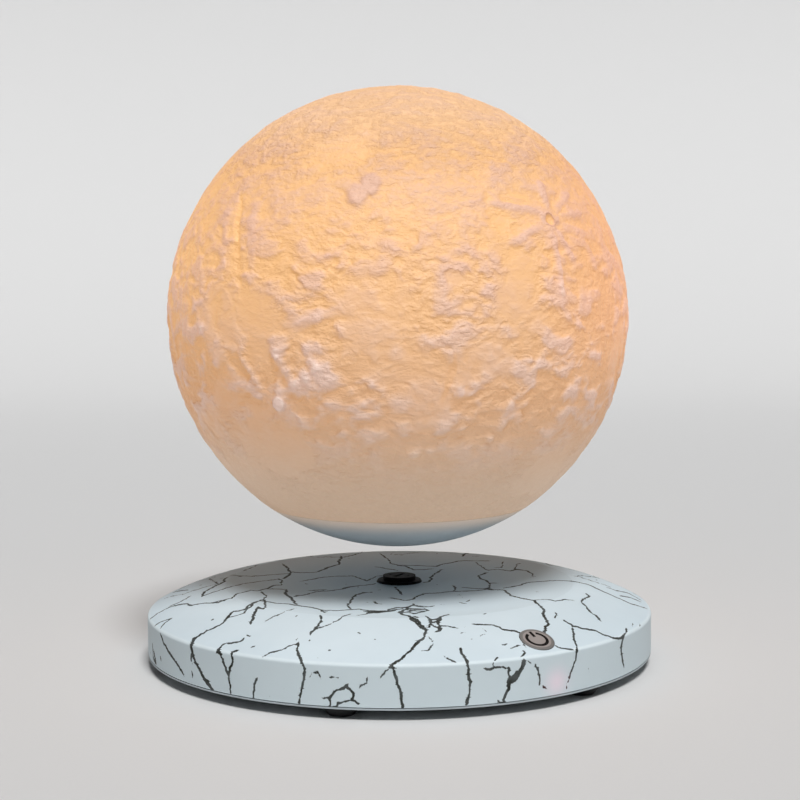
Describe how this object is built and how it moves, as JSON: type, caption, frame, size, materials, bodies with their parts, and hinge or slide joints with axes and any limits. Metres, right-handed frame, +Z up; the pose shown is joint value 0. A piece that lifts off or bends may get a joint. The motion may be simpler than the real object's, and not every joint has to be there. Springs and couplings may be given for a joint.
{
  "type": "moon lamp",
  "caption": "Levitating moon lamp: a lit hollow moon hovers and turns above a round marbled base with a touch switch, magnets, coils and wireless power.",
  "frame": {"origin": "on the table under the rubber feet, on the axis on which the moon hovers and turns", "axes": "+Z up along the moon's axis, -Y to the front, +Y to the power inlet, +X to the right seen from the front"},
  "size_m": [0.166, 0.166, 0.1875],
  "materials": {
    "marble_shell": "satin white with fine dark vein print",
    "pale_plate": "satin, moulded",
    "black_rubber": "matt",
    "black_plastic": "matt, fine grain",
    "taupe_plastic": "satin disc with a slightly darker edge",
    "black_ink": "printed",
    "steel": "zinc plated",
    "nickel": "nickel plated",
    "ferrite": "sintered, matt",
    "copper": "enamelled copper wire",
    "circuit_board": "solder mask",
    "white_board": "white solder mask on aluminium",
    "white_plastic": "satin, moulded",
    "aluminium": "bright",
    "brass": "turned",
    "warm_phosphor": "phosphor under clear resin",
    "red_lens": "tinted lens, lit",
    "opal": "opal, frosted",
    "wire_sleeve": "PVC sleeve",
    "moon_shell": "translucent printed plastic with crater relief, lit from inside",
    "moon_cap": "smooth, unlit"
  },
  "bodies": {
    "base": {"base_top_shell": "marble_shell", "base_bottom_plate": "pale_plate", "rubber_feet": "black_rubber", "bottom_screws": "steel", "centre_hub": "black_plastic", "hub_nut": "steel", "touch_disc": "taupe_plastic", "touch_symbol": "black_ink", "touch_spring": "nickel", "touch_board": "circuit_board", "touch_chips": "black_plastic", "indicator_led": "red_lens", "yoke_plate": "steel", "ring_magnet": "ferrite", "coil_bobbins": "black_plastic", "coil_windings": "copper", "coil_cores": "steel", "hall_spacers": "white_plastic", "hall_board": "circuit_board", "hall_sensors": "black_plastic", "coil_carrier": "white_plastic", "ferrite_sheet": "ferrite", "transmitter_coil": "copper", "control_board": "circuit_board", "control_chips": "black_plastic", "power_capacitors": "aluminium", "power_inductors": "ferrite", "board_screws": "steel", "dc_jack": "black_plastic", "dc_jack_pin": "nickel", "drive_leads": "wire_sleeve"},
    "float_carrier": {"float_magnet": "nickel"},
    "moon": {"moon_globe": "moon_shell", "moon_bottom_cap": "moon_cap", "magnet_tray": "white_plastic", "magnet_retainer": "white_plastic", "tray_screws": "steel", "receiver_coil": "copper", "receiver_leads": "copper", "board_standoffs": "brass", "receiver_board": "circuit_board", "receiver_chips": "black_plastic", "receiver_capacitor": "aluminium", "receiver_screws": "steel", "led_post": "aluminium", "led_leads": "wire_sleeve", "led_board": "white_board", "led_chips": "warm_phosphor", "led_diffuser": "opal"}
  },
  "joints": [
    {"name": "float_lift", "type": "slide", "parent": "base", "child": "float_carrier", "axis": [0, 0, 1], "range_m": [-0.0104, 0.06], "stiffness_N_per_m": 200, "springref_m": 0.01846},
    {"name": "moon_spin", "type": "hinge", "parent": "float_carrier", "child": "moon", "pos_m": [0, 0, 0.11255], "axis": [0, 0, 1], "continuous": true}
  ]
}
